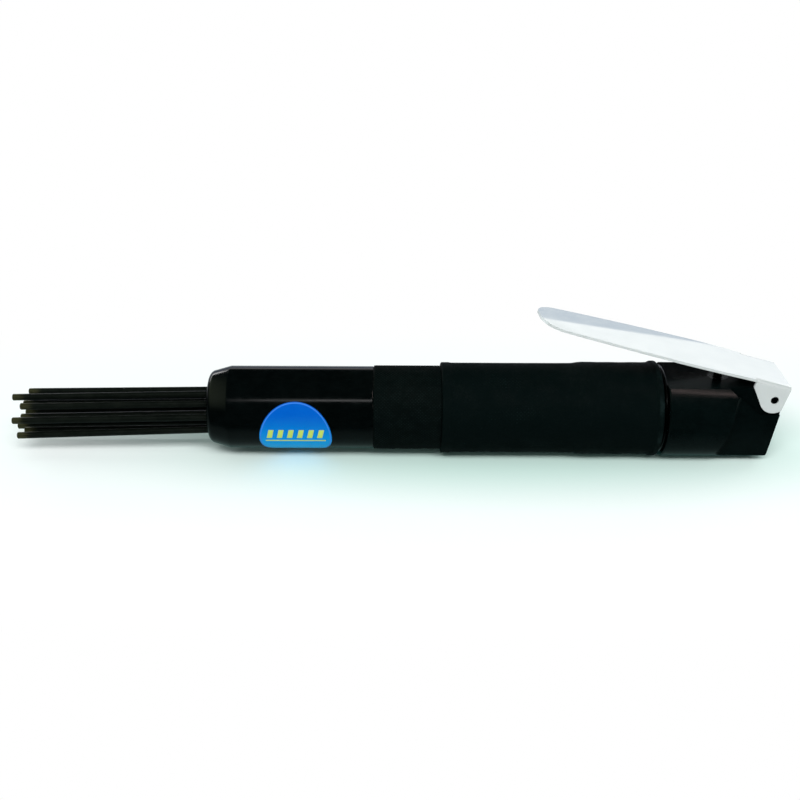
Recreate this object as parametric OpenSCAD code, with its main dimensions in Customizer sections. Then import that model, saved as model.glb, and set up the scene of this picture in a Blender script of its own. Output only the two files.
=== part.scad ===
// Straight air needle scaler, lying on its underside.
// s runs rearwards along the tool's axis from the nose plane, and z is the height above that axis.

/* [Needles] */
// Diameter of a needle's shank
needle_d = 3; // [2:0.1:3.4]
// Length of a needle with its head
needle_len = 180; // [160:1:200]
// How far the foremost needles stand out of the nose
needle_reach = 90.3; // [80:0.1:96]
// Diameter of a needle's head
needle_head_d = 4.8; // [4:0.1:5.2]
// Thickness of a needle's head
needle_head_t = 3; // [2:0.1:4]
// Radius of the outer ring of needles
outer_pitch_r = 8.6; // [8.4:0.1:9.2]
// Radius of the inner ring of needles
inner_pitch_r = 3.2; // [3.1:0.1:3.5]
// Length that a needle can be pushed back in the holder
needle_play = 8; // [7.8:0.1:11]
// Angle by which the bundle sags, in degrees
droop = 1.4; // [0:0.1:1.4]
// Angle by which the bundle opens, in degrees
splay = 0.5; // [0:0.05:0.5]
// Greatest sideways lean of a single needle, in degrees
wander = 0.22; // [0:0.02:0.24]

/* [Needle holder] */
// Thickness of the drilled plate
holder_plate_t = 7; // [5:0.5:10]
// Wall of the cup behind the plate
holder_wall = 2.3; // [1.5:0.1:2.6]
// Clearance round a needle in its hole
needle_hole_gap = 0.35; // [0.3:0.05:0.5]
// Forward travel of the holder against its spring
holder_travel = 8; // [4:0.5:12]

/* [Front tube] */
// Outside diameter of the tube
tube_d = 37; // [36:0.1:37.3]
// Length of the tube in front of the collar
tube_len = 73.8; // [66:0.1:82]
// Bore that the needle holder slides in
tube_bore_d = 30.6; // [30.2:0.1:31]
// Opening in the nose
nose_open_d = 26.6; // [26.4:0.1:28]
// Length of the taper behind the nose plane
nose_len = 9.5; // [9.2:0.1:14]
// Angle of the taper, in degrees
nose_angle = 16; // [10:0.5:20]
// Radius of the rounded nose edge
nose_round = 3.2; // [2:0.1:4]
// Depth of metal in front of the return spring
nose_seat_t = 9; // [6:0.5:12]
// Outside diameter of the threaded spigot
spigot_d = 33.2; // [32.6:0.1:33.8]
// Length of the threaded spigot
spigot_len = 13.4; // [8:0.1:16]

/* [Return spring] */
// Wire diameter
return_wire_d = 2; // [1:0.1:2]
// Number of turns
return_turns = 9; // [6:1:12]

/* [Barrel] */
// Outside diameter under the knurl
collar_d = 37.4; // [36.8:0.1:38.2]
// Length of the bare collar in front of the sleeve
collar_len = 30.3; // [20:0.1:40]
// Bore that the piston runs in
bore_d = 19; // [17:0.1:20]
// Outside diameter of the rear spigot
barrel_spigot_d = 34; // [33:0.1:34.6]
// Radius of the ring of return passages
return_pitch_r = 13.2; // [12.8:0.1:13.8]
// Radius of the ring of exhaust passages
exhaust_pitch_r = 14; // [13.6:0.1:14.4]
// Diameter of a drilled air passage
passage_d = 3; // [2:0.1:3]
// Distance of the exhaust port behind the front of the bore
exhaust_back = 35; // [28:1:40]

/* [Anvil and piston] */
// Thickness of the anvil's flange
anvil_flange_t = 6; // [4:0.5:9]
// Diameter of the anvil's stem
anvil_stem_d = 16; // [13:0.1:17]
// Length of the anvil bush
bush_len = 14; // [10:0.5:18]
// Outside diameter of the anvil bush
bush_d = 23; // [21:0.1:23.6]
// Length of stem that stands into the bore
stem_over = 6; // [5:0.5:9]
// Length of the piston
piston_len = 36; // [30:1:50]
// Stroke of the piston
piston_stroke = 25.7; // [20:0.1:32]

/* [Cycling valve] */
// Thickness of the valve block
block_t = 6; // [5:0.1:8]
// Thickness of the valve cap
cap_t = 5; // [4.4:0.1:7]
// Diameter of the valve disc
disc_d = 16; // [12:0.1:17]
// Thickness of the valve disc
disc_t = 1; // [0.6:0.1:1.6]
// Travel of the disc to either side
disc_travel = 0.4; // [0.2:0.05:0.6]
// Diameter of the two dowels
dowel_d = 2.5; // [2:0.1:3]
// Length of a dowel
dowel_len = 16; // [13:0.5:20]

/* [Throttle body] */
// Diameter of the drum
drum_d = 43; // [42.2:0.1:44.4]
// Outside diameter of the skirt under the sleeve
skirt_d = 38.8; // [38.4:0.1:39.6]
// Length of the skirt in front of the drum
skirt_len = 35.5; // [30:0.5:46]
// Depth of metal between the valve and the drum's front
shoulder_depth = 6.1; // [6:0.1:10]
// Height of the milled top above the axis
top_flat_z = 16.8; // [16.7:0.1:17.4]
// Height of the axis above the surface that the tool lies on
axis_h = 20.45; // [20.3:0.05:20.6]
// Half width between the side flats
side_flat_y = 13.2; // [11:0.1:13.3]
// Distance of the shoulder behind the drum's front, at the axis
shoulder_back = 26.7; // [24:0.1:29]
// Lean of the shoulder, in degrees
shoulder_tilt = 12; // [0:1:16]
// Fillet at the foot of the shoulder
shoulder_fillet = 4.5; // [2:0.1:6]
// Distance of the rear face behind the drum's front, at the axis
tail_back = 50.3; // [49.6:0.1:52]
// Lean of the rear face, in degrees
tail_tilt = 8; // [4:0.5:10]
// Radius of the lower rear corner
tail_round = 6; // [3:0.5:6]
// Slope of the ear pocket's front edge, in degrees
pocket_slope = 40.5; // [36:0.5:44]

/* [Air inlet] */
// Diameter of the tapped hole
inlet_d = 11.8; // [10:0.1:12]
// Depth of the tapped hole
inlet_depth = 14; // [11:0.5:15]
// Height of the inlet's centre on the rear face
inlet_z = -8; // [-8.5:0.1:-7]
// Diameter of the passage to the throttle
feed_d = 7; // [5:0.1:7.4]
// Thickness of the inlet screen
screen_t = 0.8; // [0.5:0.1:1.2]

/* [Throttle] */
// Distance of the throttle pin behind the drum's front
throttle_back = 24.5; // [23:0.1:25.5]
// Diameter of the throttle pin
pin_d = 4; // [3:0.1:4.4]
// Outside diameter of the pin's bush
pin_bush_d = 9; // [7.6:0.1:10]
// Length of the pin's bush
pin_bush_len = 6; // [5:0.1:6.4]
// Height of the outlet passage above the axis
outlet_z = 5.5; // [5.2:0.1:5.8]
// Diameter of the outlet passage
outlet_d = 6; // [4:0.1:6.4]
// Height of the valve seat above the axis
seat_z = 1.2; // [0.8:0.1:1.4]
// Diameter of the seat's opening
seat_d = 8.8; // [7.6:0.1:9.4]
// Diameter of the valve chamber
chamber_d = 13.2; // [12.8:0.1:13.6]
// Diameter of the throttle valve's head
valve_d = 12; // [11:0.1:12.4]
// Thickness of the throttle valve's head
valve_t = 3.8; // [3:0.1:4.2]
// Thickness of the valve's rubber face
face_t = 1.5; // [1:0.1:1.8]
// Diameter of the screwed plug
plug_d = 17; // [16.4:0.1:17.6]
// Length of the screwed plug
plug_len = 5.1; // [4.6:0.1:5.4]
// Wire diameter of the throttle spring
throttle_wire_d = 0.8; // [0.5:0.1:1]
// Number of turns of the throttle spring
throttle_turns = 4; // [3:0.5:5]

/* [Lever] */
// Distance of the pivot behind the drum's front
pivot_back = 47.1; // [46.4:0.1:47.6]
// Height of the pivot above the axis
pivot_z = 11.4; // [11:0.1:11.8]
// Diameter of the pivot pin
pivot_d = 3.5; // [3:0.1:4]
// Width of the lever
lever_w = 27.4; // [23.6:0.1:28]
// Thickness of the sheet
lever_t = 1.2; // [1:0.1:1.5]
// Length of the blade in front of the pivot
lever_reach = 110.2; // [90:0.1:120]
// Length of the blade behind the pivot
lever_heel = 4.9; // [4.4:0.1:6]
// Height of the blade's underside over the pivot
blade_rise = 6.3; // [6.1:0.1:7]
// Angle of the released blade to the axis, in degrees
lever_angle = 15.2; // [14:0.1:18]
// Angle that the lever is pressed through, in degrees
lever_press = 9; // [6:0.5:9]
// Radius of the corners at the blade's free end
lever_end_r = 10; // [4:0.5:11]
// Inside radius of the bends above the ears
bend_r = 0.6; // [0.4:0.1:2]
// Radius of an ear round the pivot
ear_r = 6.4; // [5.6:0.1:6.8]
// Length of an ear in front of the pivot, at its top
ear_front = 11.4; // [9:0.1:13]
// Height of an ear's front corner over the pivot
ear_corner = 3.5; // [2:0.1:4]

/* [Grip sleeve] */
// Wall of the rubber sleeve over the barrel
sleeve_wall = 1.6; // [1.2:0.1:1.9]
// Wall of the sleeve where it is stretched over the skirt
sleeve_rear_wall = 1.5; // [1.2:0.1:1.8]
// Length of the slope where the sleeve climbs onto the skirt
sleeve_ramp = 6; // [3:0.5:10]
// Height of the lip at the sleeve's rear edge
lip_h = 0.7; // [0.2:0.05:0.8]
// Length of that lip
lip_len = 4; // [2:0.5:6]
// Height of the rim at the sleeve's front edge
rim_h = 0.15; // [0.05:0.05:0.4]
// Length of that rim
rim_len = 4; // [2:0.5:6]
// Wire diameter of the ring behind the sleeve
ring_wire_d = 1.6; // [1:0.1:1.8]
// Depth of that ring's groove in the skirt
ring_groove = 1.1; // [0.9:0.1:1.4]

/* [Label] */
// Length of the label along the tube
label_len = 32; // [20:1:40]
// Width of the label across the tube
label_w = 30; // [20:1:32]
// Distance of its centre behind the nose plane
label_s = 39.5; // [34:0.5:48]
// Angle of its centre below the side of the tube, in degrees
label_dip = 20; // [0:1:30]
// Thickness of the label
label_t = 0.2; // [0.1:0.05:0.3]

/* [Fits] */
// Radial clearance of a running shaft
run_gap = 0.05; // [0.02:0.01:0.08]
// Radial clearance of a thread or a pressed piece
fit_gap = 0.03; // [0.02:0.01:0.05]
// Clearance between flat faces that meet
seat_gap = 0.2; // [0.1:0.05:0.3]
// Radial clearance of the holder in the tube
holder_gap = 0.3; // [0.2:0.05:0.4]
// Clearance between the ears and the throttle body
ear_gap = 0.3; // [0.2:0.05:0.5]
// Chamfer on turned edges
edge = 0.5; // [0.2:0.1:0.7]

/* [Hidden] */
$fn = 96;
far = 60;
slip = 0.01;

// Places along the axis, from the nose plane rearwards
s_spigot_end = tube_len + spigot_len;
s_sleeve = tube_len + collar_len;
s_floor = needle_len - needle_head_t - seat_gap - needle_reach;
s_plate = s_floor - holder_plate_t;
cup_depth = seat_gap + needle_head_t + needle_play + seat_gap;
s_rim = s_floor + cup_depth;
s_anvil = s_rim + seat_gap;
s_flange_end = s_anvil + anvil_flange_t;
s_chamber_end = s_flange_end + seat_gap;
s_bush_end = s_chamber_end + bush_len;
s_stem_end = s_bush_end + stem_over;
s_piston = s_stem_end + seat_gap;
s_block = s_piston + piston_len + piston_stroke + seat_gap;
s_cap = s_block + block_t;
s_cap_end = s_cap + cap_t;
s_seat = s_cap_end + seat_gap;
s_drum = s_seat + shoulder_depth;
s_skirt = s_drum - skirt_len;
s_throttle = s_drum + throttle_back;
s_shoulder = s_drum + shoulder_back;
s_tail = s_drum + tail_back;
s_pivot = s_drum + pivot_back;

// Radii shared by neighbours
bore_r = bore_d / 2;
tube_bore_r = tube_bore_d / 2;
tube_r = tube_d / 2;
holder_r = tube_bore_r - holder_gap;
cup_r = holder_r - holder_wall;
drum_r = drum_d / 2;
skirt_r = skirt_d / 2;
collar_r = collar_d / 2;
spigot_r = barrel_spigot_d / 2;
skirt_bore_r = spigot_r + fit_gap;
valve_r = skirt_bore_r - run_gap;
disc_room = 0.5;
pocket_r = disc_d / 2 + disc_room;
pocket_depth = disc_t + 2 * disc_travel + seat_gap;

// Groove and ring behind the sleeve
groove_r = skirt_r - ring_groove;
groove_len = ring_wire_d + 2 * seat_gap;
s_sleeve_end = s_drum - groove_len;
ring_pitch_r = groove_r + fit_gap + ring_wire_d / 2;

// Needle places, counted round the outer ring and then the inner one
outer_count = 9;
inner_count = 3;
ring_start = 54.5;
inner_turn = 12;
setback_share = [0.92, 0.27, 0.86, 0.39, 0.5, 0.71, 0, 0.375, 0.5, 0.7, 0.6, 0.8];
needle_setback = needle_play * setback_share;
wander_step = 100;
needle_stray = [0, 0.3, -0.05, -0.2, 0.25, -0.9, -0.1, 0, 0, -0.5, 0, 0];
s_hole = s_floor - holder_plate_t / 2;
function outer(i) = i < outer_count;
function ring_angle(i) = outer(i)
    ? ring_start + i * 360 / outer_count
    : ring_start + inner_turn + (i - outer_count) * 360 / inner_count;
function pitch_r(i) = outer(i) ? outer_pitch_r : inner_pitch_r;
function needle_lean(i) = outer(i) ? splay : 0;
function needle_y(i) = pitch_r(i) * cos(ring_angle(i));
function needle_z(i) = pitch_r(i) * sin(ring_angle(i));
function needle_pitch(i) = droop + needle_stray[i] - needle_lean(i) * sin(ring_angle(i));
function needle_yaw(i) = wander * sin(wander_step * i) - needle_lean(i) * cos(ring_angle(i));

// Rear face, as a line in the side view: its place at height z and its outward direction
function tail_s(z) = s_tail + z * tan(tail_tilt);
tail_out = [cos(tail_tilt), -sin(tail_tilt)];
pivot_place = [s_pivot, pivot_z];
crown_r = top_flat_z - pivot_z;
corner_z = tail_round - axis_h;
corner_place = [tail_s(corner_z) - tail_round / cos(tail_tilt), corner_z];
pivot_to_tail = (tail_s(pivot_z) - s_pivot) * cos(tail_tilt);

// Ears and the pockets that they swing in
lever_half = lever_w / 2;
ear_inner = lever_half - lever_t;
tongue_half = ear_inner - ear_gap;
blade_top = blade_rise + lever_t;
bend_outer = bend_r + lever_t;
tangent_turn = atan2(ear_corner, ear_front) - acos(ear_r / norm([ear_front, ear_corner]));
ear_room = 1.2;
pocket_lead = 20.2;
pocket_floor_z = pivot_z - ear_r - ear_room;
pocket_top_s = s_pivot - pocket_lead;
pocket_run = (top_flat_z - pocket_floor_z) / tan(pocket_slope);
front_end = -needle_reach;
rear_end = s_pivot + lever_heel * cos(lever_angle) + blade_top * sin(lever_angle);
mid_s = (front_end + rear_end) / 2;

// Throttle stack: the pin's dome stays one gap below the blade at both ends of the press
pin_r = pin_d / 2;
pin_gap = 0.15;
pin_arm = s_pivot - s_throttle;
function blade_z(a) = pivot_z + blade_rise / cos(a) + pin_arm * tan(a);
function dome_z(a) = blade_z(a) - (pin_r + pin_gap) / cos(a);
throttle_travel = dome_z(lever_angle) - dome_z(lever_angle - lever_press);
bush_foot_z = top_flat_z - pin_bush_len;
pin_seal_wire = 1.4;
pin_seal_pitch = pin_r + run_gap + pin_seal_wire / 2;
pin_seal_room = pin_seal_wire + seat_gap;
pin_seal_z = bush_foot_z - pin_seal_room / 2;
pin_land_z = bush_foot_z - pin_seal_room;
land_t = 0.6;
land_gap = 0.2;
gallery_top_z = pin_land_z - land_t;
face_top_z = seat_z - seat_gap;
head_top_z = face_top_z - face_t;
head_foot_z = head_top_z - valve_t;
plug_foot_z = -sqrt(drum_r * drum_r - plug_d * plug_d / 4) + seat_gap;
plug_step_z = plug_foot_z + plug_len;
plug_seal_wire = 1.4;
chamber_foot_z = plug_step_z + plug_seal_wire + seat_gap;
plug_slack = 0.1;
plug_over = 0.5;
plug_nose_r = chamber_d / 2 - plug_slack;
plug_nose_z = chamber_foot_z + plug_over;
plug_seal_pitch = (plug_nose_r + plug_d / 2) / 2;
spring_stud_r = 2.2;
coil_slack = 0.3;
spring_coil_r = spring_stud_r + throttle_wire_d / 2 + coil_slack;
spring_stud_len = 2;
pin_depth = 3;
screen_step = 0.8;
screen_d = inlet_d - 2 * screen_step;
screen_foot = -inlet_depth - screen_t - slip;
screen_pitch = 1.4;
screen_hole_d = 0.9;
hex_key = 6;
hex_depth = 3;

// Seal between the valve cap and the throttle body, springs and the rolled pin
seal_wire = 1.8;
seal_depth = seal_wire - seat_gap + 2 * fit_gap;
seal_pitch = 13;
spring_gap = 0.4;
return_coil_r = tube_bore_r - spring_gap - return_wire_d / 2;
roll_t = 0.7;

// Frames: s along X from the nose plane with z above the axis, and turned or upright pieces in it
module tool() { translate([-mid_s, 0, axis_h]) children(); }
module turned() { tool() rotate([0, 90, 0]) rotate_extrude() children(); }
module along(s) { tool() translate([s, 0, 0]) rotate([0, 90, 0]) children(); }
module upright(s) { tool() translate([s, 0, 0]) children(); }
module side_slab(width) {
    tool() rotate([90, 0, 0]) linear_extrude(height = width, center = true) children();
}
module round_ring(pitch, wire) { rotate_extrude() translate([pitch, 0]) circle(d = wire); }

// A wire coil on the Z axis, of six sides and twelve rings to the turn, with its ends at 0 and height
module coil(radius, wire, turns, height) {
    sides = 6;
    steps = ceil(turns * 12);
    rise = height - wire;
    points = [for (k = [0 : steps], j = [0 : sides - 1])
        let (turn = 360 * turns * k / steps, out = wire / 2 * cos(360 * j / sides))
        [(radius + out) * cos(turn), (radius + out) * sin(turn),
            wire / 2 + rise * k / steps + wire / 2 * sin(360 * j / sides)]];
    walls = [for (k = [0 : steps - 1], j = [0 : sides - 1], half = [0, 1])
        let (a = k * sides + j, b = k * sides + (j + 1) % sides)
        half == 0 ? [a, a + sides, b] : [b, a + sides, b + sides]];
    first = [for (j = [1 : sides - 2]) [0, j, j + 1]];
    last = [for (j = [1 : sides - 2]) [steps * sides, steps * sides + j + 1, steps * sides + j]];
    polyhedron(points = points, faces = concat(walls, first, last), convexity = 10);
}

// Side view of the throttle body behind the drum's front: flat top, crown round the pivot, leaning tail
module tail_outline() {
    foot = [s_drum - slip, -axis_h];
    roof = [s_drum - slip, top_flat_z];
    intersection() {
        union() {
            polygon([foot, [corner_place[0], -axis_h], corner_place + tail_round * tail_out,
                pivot_place + pivot_to_tail * tail_out, [s_pivot, top_flat_z], roof]);
            translate(corner_place) circle(r = tail_round);
            translate(pivot_place) circle(r = crown_r);
        }
        polygon([[s_drum - slip, -far], [tail_s(-far), -far], [tail_s(far), far], [s_drum - slip, far]]);
    }
}

// Cutter for one side flat, with the fillet where it meets the shoulder
module side_cut() {
    union() {
        translate([0, shoulder_fillet]) square([far, far]);
        translate([shoulder_fillet, 0]) square([far, far]);
        translate([shoulder_fillet, shoulder_fillet]) circle(r = shoulder_fillet);
    }
}

module side_flats() {
    upright(s_shoulder) rotate([0, shoulder_tilt, 0]) for (side = [0, 1]) mirror([0, side, 0])
        translate([0, side_flat_y, 0]) linear_extrude(height = 2 * far, center = true) side_cut();
}

module ear_pockets() {
    for (side = [0, 1]) mirror([0, side, 0]) translate([0, tongue_half + far / 2, 0]) side_slab(far)
        polygon([[pocket_top_s, top_flat_z], [pocket_top_s + pocket_run, pocket_floor_z],
            [s_tail + far, pocket_floor_z], [s_tail + far, far], [pocket_top_s, far]]);
}

// Frame on the rear face: Z points out of the inlet
module inlet_frame() {
    upright(tail_s(inlet_z)) translate([0, 0, inlet_z]) rotate([0, 90 + tail_tilt, 0]) children();
}

module inlet_holes() {
    inlet_frame() translate([0, 0, -inlet_depth]) cylinder(d = inlet_d, h = inlet_depth + 1);
    inlet_frame() translate([0, 0, -edge]) cylinder(d1 = inlet_d, d2 = inlet_d + 4 * edge, h = 2 * edge);
    inlet_frame() translate([0, 0, screen_foot]) cylinder(d = screen_d + 2 * run_gap, h = inlet_depth);
    run = (tail_s(inlet_z) - s_throttle) / cos(tail_tilt);
    inlet_frame() translate([0, 0, -run]) cylinder(d = feed_d, h = run);
}

module throttle_holes() {
    upright(s_throttle) {
        translate([0, 0, bush_foot_z]) cylinder(d = pin_bush_d, h = far);
        translate([0, 0, pin_land_z])
            cylinder(r = pin_seal_pitch + pin_seal_wire / 2 + run_gap, h = far / 4);
        translate([0, 0, gallery_top_z - 1]) cylinder(r = pin_r + land_gap, h = far / 2);
        translate([0, 0, seat_z - slip]) cylinder(d = seat_d, h = gallery_top_z - seat_z + slip);
        translate([0, 0, chamber_foot_z]) cylinder(d = chamber_d, h = seat_z - chamber_foot_z);
        translate([0, 0, -far]) cylinder(d = plug_d, h = far + chamber_foot_z + slip);
    }
    tool() translate([s_seat - slip, 0, outlet_z]) rotate([0, 90, 0])
        cylinder(d = outlet_d, h = s_throttle - s_seat);
}

module throttle_body() {
    color([0.09, 0.09, 0.1]) difference() {
        union() {
            turned() polygon([[0, s_skirt], [skirt_r - edge, s_skirt], [skirt_r, s_skirt + edge],
                [skirt_r, s_sleeve_end], [groove_r, s_sleeve_end], [groove_r, s_drum + slip],
                [0, s_drum + slip]]);
            intersection() {
                turned() polygon([[0, s_drum], [drum_r - edge, s_drum], [drum_r, s_drum + edge],
                    [drum_r, s_drum + far], [0, s_drum + far]]);
                side_slab(2 * far) tail_outline();
            }
        }
        side_flats();
        ear_pockets();
        inlet_holes();
        throttle_holes();
        along(s_skirt - slip) cylinder(r = skirt_bore_r, h = s_seat - s_skirt + slip);
        upright(s_pivot) translate([0, 0, pivot_z]) rotate([90, 0, 0])
            cylinder(d = pivot_d + 2 * fit_gap, h = far, center = true);
    }
}

module barrel_section() {
    polygon([[spigot_d / 2 + fit_gap, tube_len], [collar_r - edge, tube_len], [collar_r, tube_len + edge],
        [collar_r, s_skirt - seat_gap], [spigot_r, s_skirt - seat_gap], [spigot_r, s_block - fit_gap],
        [bore_r, s_block - fit_gap], [bore_r, s_bush_end], [bush_d / 2, s_bush_end],
        [bush_d / 2, s_chamber_end], [tube_bore_r, s_chamber_end], [tube_bore_r, s_spigot_end + seat_gap],
        [spigot_d / 2 + fit_gap, s_spigot_end + seat_gap]]);
}

// Two passages that lead air to the front of the bore
module return_passages() {
    port_s = s_bush_end + passage_d;
    for (side = [-1, 1]) tool() translate([port_s, side * return_pitch_r, 0]) {
        rotate([0, 90, 0]) cylinder(d = passage_d, h = far * 2);
        rotate([side * 90, 0, 0]) cylinder(d = passage_d - slip, h = return_pitch_r - bore_r + 1);
    }
}

// Two passages that lead spent air forward, out round the needles
module exhaust_passages() {
    port_s = s_bush_end + exhaust_back;
    for (side = [0, 180]) tool() rotate([side, 0, 0]) {
        translate([s_chamber_end - 1, 0, exhaust_pitch_r]) rotate([0, 90, 0])
            cylinder(d = passage_d, h = port_s - s_chamber_end + 1);
        translate([port_s, 0, bore_r - 1]) cylinder(d = passage_d - slip, h = exhaust_pitch_r - bore_r + 1);
    }
}

// Dowels, or their holes, between the return and the exhaust passages
module dowel_set(diameter) {
    for (side = [45, 225]) tool() rotate([side, 0, 0])
        translate([s_cap + cap_t / 2 - dowel_len, 0, return_pitch_r]) rotate([0, 90, 0])
            cylinder(d = diameter, h = dowel_len);
}

module barrel() {
    color([0.16, 0.16, 0.17]) difference() {
        turned() barrel_section();
        return_passages();
        exhaust_passages();
        dowel_set(dowel_d + 2 * fit_gap);
    }
}

// Nose of the tube: rounded edge, taper and the seat of the return spring
module nose_section() {
    round_r = tube_r - ((nose_len - nose_round) * sin(nose_angle) + nose_round) / cos(nose_angle);
    taper_start = [round_r, nose_round] + nose_round * [cos(nose_angle), -sin(nose_angle)];
    difference() {
        union() {
            polygon([[round_r, nose_round], taper_start, [tube_r, nose_len], [tube_r, nose_len + 1],
                [round_r, nose_len + 1]]);
            translate([round_r, nose_round]) circle(r = nose_round);
        }
        translate([-far, -far]) square([far + nose_open_d / 2, 2 * far]);
        translate([-far, nose_seat_t]) square([far + tube_bore_r, far]);
    }
}

module front_tube() {
    color([0.05, 0.05, 0.055]) turned() union() {
        nose_section();
        translate([tube_bore_r, nose_len]) square([tube_r - tube_bore_r, tube_len - nose_len]);
        translate([tube_bore_r, tube_len - 1]) square([spigot_d / 2 - tube_bore_r, spigot_len + 1]);
    }
}

module sleeve_section() {
    inner_front = collar_r + run_gap;
    inner_rear = skirt_r + run_gap;
    front_r = inner_front + sleeve_wall;
    rear_r = inner_rear + sleeve_rear_wall;
    ramp_s = s_skirt - sleeve_ramp;
    end_s = s_sleeve_end - seat_gap;
    polygon([[inner_front, s_sleeve], [front_r + rim_h, s_sleeve], [front_r + rim_h, s_sleeve + rim_len],
        [front_r, s_sleeve + rim_len], [front_r, ramp_s], [rear_r, s_skirt], [rear_r, end_s - lip_len],
        [rear_r + lip_h, end_s - lip_len / 2], [rear_r + lip_h, end_s], [inner_rear, end_s],
        [inner_rear, s_skirt - seat_gap], [inner_front, ramp_s - seat_gap]]);
}

// The sleeve is pressed flat where the tool lies on it
module grip_sleeve() {
    color([0.13, 0.13, 0.14]) intersection() {
        turned() sleeve_section();
        translate([-mid_s, -far, 0]) cube([s_drum + far, 2 * far, 2 * far]);
    }
}

module sleeve_ring() {
    color([0.2, 0.2, 0.21]) along(s_drum - groove_len / 2) round_ring(ring_pitch_r, ring_wire_d);
}

module label() {
    color([0.1, 0.25, 0.62]) intersection() {
        turned() translate([tube_r + fit_gap, nose_len]) square([label_t, tube_len - nose_len]);
        upright(label_s) rotate([90 + label_dip, 0, 0]) linear_extrude(height = far)
            polygon([for (a = [0 : 7.5 : 352.5]) [label_len / 2 * cos(a), label_w / 2 * sin(a)]]);
    }
}

module anvil_bush() {
    inner_r = anvil_stem_d / 2 + run_gap;
    color([0.72, 0.55, 0.3]) turned() translate([inner_r, s_chamber_end])
        square([bush_d / 2 - fit_gap - inner_r, bush_len - fit_gap]);
}

module valve_block() {
    pocket_s = s_cap - pocket_depth;
    color([0.5, 0.5, 0.52]) difference() {
        along(s_block) cylinder(r = valve_r, h = block_t - fit_gap);
        along(pocket_s) cylinder(r = pocket_r, h = far);
        along(s_block - 1) cylinder(d = disc_d / 2, h = far);
        for (side = [0, 180]) tool() rotate([side, 0, 0]) {
            translate([pocket_s, 0, -passage_d / 2]) cube([far, return_pitch_r, passage_d]);
            translate([s_block - 1, return_pitch_r, 0]) rotate([0, 90, 0]) cylinder(d = passage_d, h = far);
        }
        dowel_set(dowel_d + 2 * fit_gap);
    }
}

module valve_cap() {
    color([0.5, 0.5, 0.52]) difference() {
        along(s_cap) cylinder(r = valve_r, h = cap_t);
        along(s_cap + cap_t / 2) cylinder(r = pocket_r, h = far);
        for (k = [0 : 5]) tool() rotate([60 * k, 0, 0]) translate([s_cap - 1, 0, disc_d / 3])
            rotate([0, 90, 0]) cylinder(d = passage_d, h = far);
        along(s_cap_end - seal_depth) difference() {
            cylinder(r = seal_pitch + seal_wire / 2 + run_gap, h = far);
            cylinder(r = seal_pitch - seal_wire / 2 - run_gap, h = far);
        }
        dowel_set(dowel_d + 2 * fit_gap);
    }
}

module valve_dowels() {
    color([0.6, 0.6, 0.62]) dowel_set(dowel_d);
}

module valve_disc() {
    color([0.7, 0.7, 0.72]) along(s_cap - pocket_depth / 2 - disc_t / 2) cylinder(d = disc_d, h = disc_t);
}

module barrel_seal() {
    color([0.08, 0.08, 0.08]) along(s_cap_end - seal_depth + fit_gap + seal_wire / 2)
        round_ring(seal_pitch, seal_wire);
}

// Perforated disc in the recess below the tapped hole
module inlet_screen() {
    color([0.7, 0.55, 0.3]) inlet_frame() translate([0, 0, screen_foot + slip]) difference() {
        cylinder(d = screen_d, h = screen_t);
        for (ring = [0 : 2], k = [0 : max(0, 6 * ring - 1)]) rotate([0, 0, 60 * k / max(1, ring)])
            translate([ring * screen_pitch, 0, -1]) cylinder(d = screen_hole_d, h = screen_t + 2);
    }
}

module pin_bush() {
    color([0.72, 0.55, 0.3]) upright(s_throttle) translate([0, 0, bush_foot_z]) difference() {
        cylinder(d = pin_bush_d - 2 * fit_gap, h = pin_bush_len);
        translate([0, 0, -1]) cylinder(r = pin_r + run_gap, h = pin_bush_len + 2);
    }
}

module pin_seal() {
    color([0.08, 0.08, 0.08]) upright(s_throttle) translate([0, 0, pin_seal_z])
        round_ring(pin_seal_pitch, pin_seal_wire);
}

module throttle_pin() {
    dome = dome_z(lever_angle);
    foot = head_top_z - pin_depth;
    color([0.75, 0.75, 0.77]) upright(s_throttle) union() {
        translate([0, 0, foot]) cylinder(r = pin_r, h = dome - foot);
        translate([0, 0, dome]) sphere(r = pin_r);
    }
}

module throttle_valve() {
    color([0.7, 0.55, 0.3]) upright(s_throttle) difference() {
        union() {
            translate([0, 0, head_foot_z]) cylinder(d = valve_d, h = valve_t);
            translate([0, 0, head_foot_z - spring_stud_len])
                cylinder(r = spring_stud_r, h = spring_stud_len + 1);
        }
        translate([0, 0, head_top_z - pin_depth]) cylinder(r = pin_r + fit_gap, h = far);
    }
}

module throttle_face() {
    color([0.08, 0.08, 0.08]) upright(s_throttle) translate([0, 0, head_top_z]) difference() {
        cylinder(d = valve_d - 2 * edge, h = face_t);
        translate([0, 0, -1]) cylinder(r = pin_r + fit_gap, h = face_t + 2);
    }
}

module throttle_spring() {
    color([0.6, 0.6, 0.62]) upright(s_throttle) translate([0, 0, plug_nose_z])
        coil(spring_coil_r, throttle_wire_d, throttle_turns, head_foot_z - plug_nose_z);
}

module throttle_plug() {
    color([0.3, 0.3, 0.31]) upright(s_throttle) difference() {
        union() {
            translate([0, 0, plug_foot_z]) cylinder(d = plug_d - 2 * fit_gap, h = plug_len);
            translate([0, 0, plug_foot_z]) cylinder(r = plug_nose_r, h = plug_nose_z - plug_foot_z);
        }
        translate([0, 0, plug_foot_z - 1]) cylinder(d = hex_key / cos(30), h = hex_depth + 1, $fn = 6);
    }
}

module plug_seal() {
    color([0.08, 0.08, 0.08]) upright(s_throttle) translate([0, 0, plug_step_z + plug_seal_wire / 2 + slip])
        round_ring(plug_seal_pitch, plug_seal_wire);
}

// Frame of the released lever: X runs rearwards along the blade and Z stands square to it, from the pivot
module lever_frame() {
    upright(s_pivot) translate([0, 0, pivot_z]) rotate([0, lever_angle, 0]) children();
}

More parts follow.
